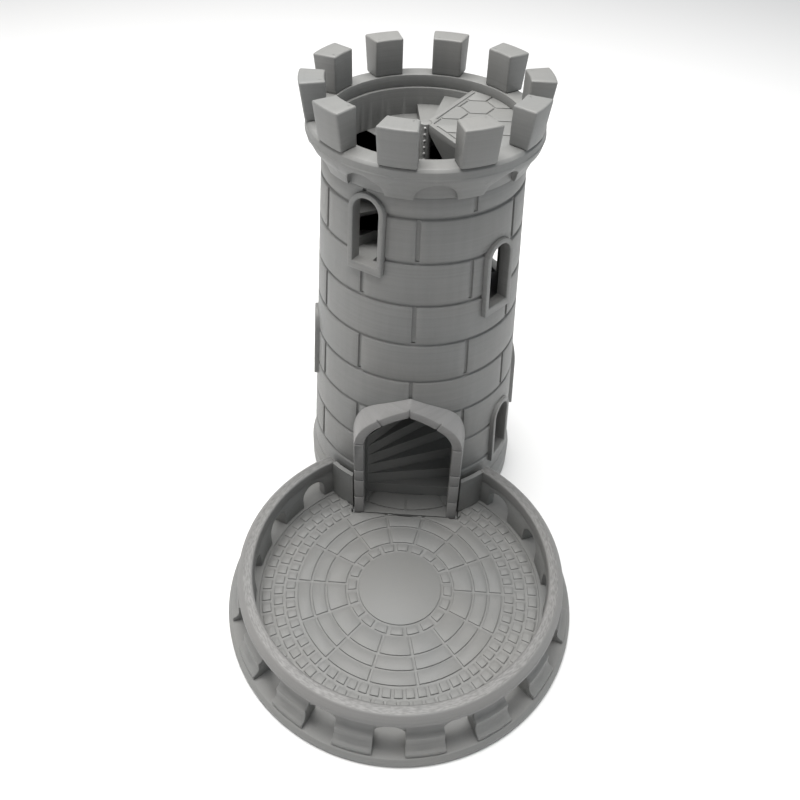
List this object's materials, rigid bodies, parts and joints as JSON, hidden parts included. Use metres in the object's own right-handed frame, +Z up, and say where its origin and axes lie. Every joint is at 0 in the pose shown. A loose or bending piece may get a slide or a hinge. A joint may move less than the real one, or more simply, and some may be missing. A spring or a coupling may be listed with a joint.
{
  "type": "dice tower",
  "caption": "Round castle dice tower with an inner spiral stair, pointed doorway and arched windows, and a loose round courtyard tray with an arcaded wall that catches the dice.",
  "frame": {"origin": "on the table, under the axis of the round tower", "axes": "+Z up along the tower axis; -Y is the front, out of the doorway and across the tray; +X is to the right seen from the front"},
  "size_m": [0.1216, 0.1758, 0.1636],
  "materials": {
    "grey_print": "matt grey PLA with fine print layers"
  },
  "bodies": {
    "tower": {"crown_corbel": "grey_print", "door_arch": "grey_print", "merlon_1": "grey_print", "merlon_10": "grey_print", "merlon_2": "grey_print", "merlon_3": "grey_print", "merlon_4": "grey_print", "merlon_5": "grey_print", "merlon_6": "grey_print", "merlon_7": "grey_print", "merlon_8": "grey_print", "merlon_9": "grey_print", "newel_post": "grey_print", "stair_flight": "grey_print", "stair_foot": "grey_print", "top_landing": "grey_print", "tower_floor": "grey_print", "tower_plinth": "grey_print", "tower_shell": "grey_print", "window_frame_1": "grey_print", "window_frame_2": "grey_print", "window_frame_3": "grey_print", "window_frame_4": "grey_print", "window_frame_5": "grey_print", "window_frame_6": "grey_print", "window_frame_7": "grey_print"},
    "tray": {"tray_arcade": "grey_print", "tray_base": "grey_print", "tray_cheek_left": "grey_print", "tray_cheek_right": "grey_print", "tray_rim": "grey_print"}
  },
  "joints": [
    {"name": "tray_draw", "type": "slide", "parent": "tower", "child": "tray", "axis": [0, -1, 0], "range_m": [0, 0.06]}
  ]
}
